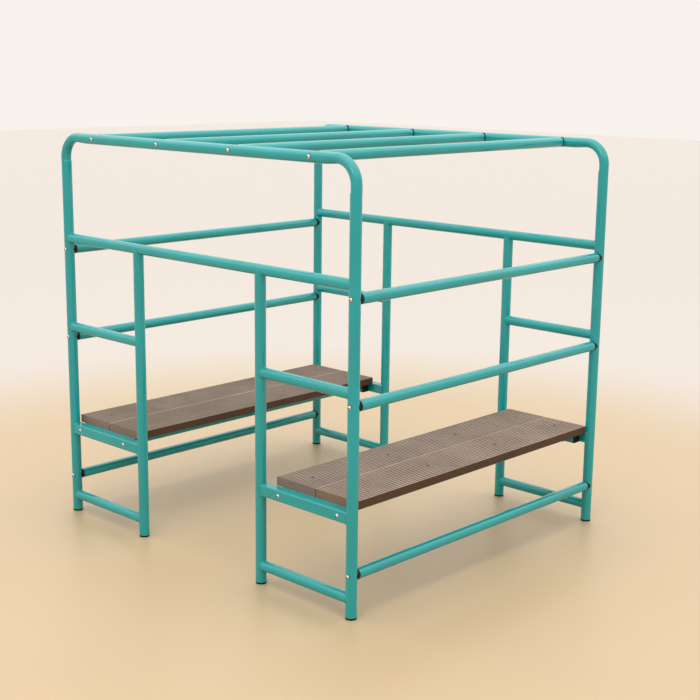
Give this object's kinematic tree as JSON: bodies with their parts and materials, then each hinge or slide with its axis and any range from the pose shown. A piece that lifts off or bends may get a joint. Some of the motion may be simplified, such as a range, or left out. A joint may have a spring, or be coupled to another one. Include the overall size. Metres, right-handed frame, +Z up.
{
  "type": "monkey bars",
  "caption": "Low steel monkey bars for small children: two welded end frames joined by overhead bars and side rails, with a plank bench along each side.",
  "frame": {"origin": "on the floor, at the middle of the footprint", "axes": "+X across the end frames, +Y along the bars, side rails and benches, +Z up"},
  "size_m": [1.19, 1.0748, 1.15],
  "materials": {
    "powder_coat": "glossy turquoise-green powder coat on steel tube",
    "planks": "matt brown wood-plastic composite, grooved along its length",
    "black_plastic": "moulded black plastic, fine satin",
    "stainless_bolts": "bright stainless steel, domed heads",
    "zinc_steel": "zinc-plated steel",
    "plank_screws": "bronze-coloured coated steel"
  },
  "bodies": {
    "root": {"end_a_hoop": "powder_coat", "end_a_handrail": "powder_coat", "end_a_short_post_left": "powder_coat", "end_a_short_post_right": "powder_coat", "end_a_mid_rung_left": "powder_coat", "end_a_mid_rung_right": "powder_coat", "end_a_low_rung_left": "powder_coat", "end_a_low_rung_right": "powder_coat", "end_a_bench_beam_left": "powder_coat", "end_a_bench_beam_right": "powder_coat", "end_b_hoop": "powder_coat", "end_b_handrail": "powder_coat", "end_b_short_post_left": "powder_coat", "end_b_short_post_right": "powder_coat", "end_b_mid_rung_left": "powder_coat", "end_b_mid_rung_right": "powder_coat", "end_b_low_rung_left": "powder_coat", "end_b_low_rung_right": "powder_coat", "end_b_bench_beam_left": "powder_coat", "end_b_bench_beam_right": "powder_coat", "top_bar_1": "powder_coat", "top_bar_2": "powder_coat", "top_bar_3": "powder_coat", "top_bar_4": "powder_coat", "side_rail_left_high": "powder_coat", "side_rail_left_mid": "powder_coat", "side_rail_left_low": "powder_coat", "side_rail_right_high": "powder_coat", "side_rail_right_mid": "powder_coat", "side_rail_right_low": "powder_coat", "plank_left_outer": "planks", "plank_left_inner": "planks", "plank_right_inner": "planks", "plank_right_outer": "planks", "cross_tube_left_a": "powder_coat", "cross_tube_left_b": "powder_coat", "cross_tube_right_a": "powder_coat", "cross_tube_right_b": "powder_coat", "runner_left_outer": "powder_coat", "runner_left_inner": "powder_coat", "runner_right_inner": "powder_coat", "runner_right_outer": "powder_coat", "bar_saddles": "black_plastic", "rail_saddles": "black_plastic", "threaded_inserts": "zinc_steel", "rail_bolts": "stainless_bolts", "bench_bolts": "stainless_bolts", "weld_nuts": "zinc_steel", "plank_screws": "plank_screws", "square_end_caps": "black_plastic", "feet": "black_plastic"}
  },
  "joints": []
}
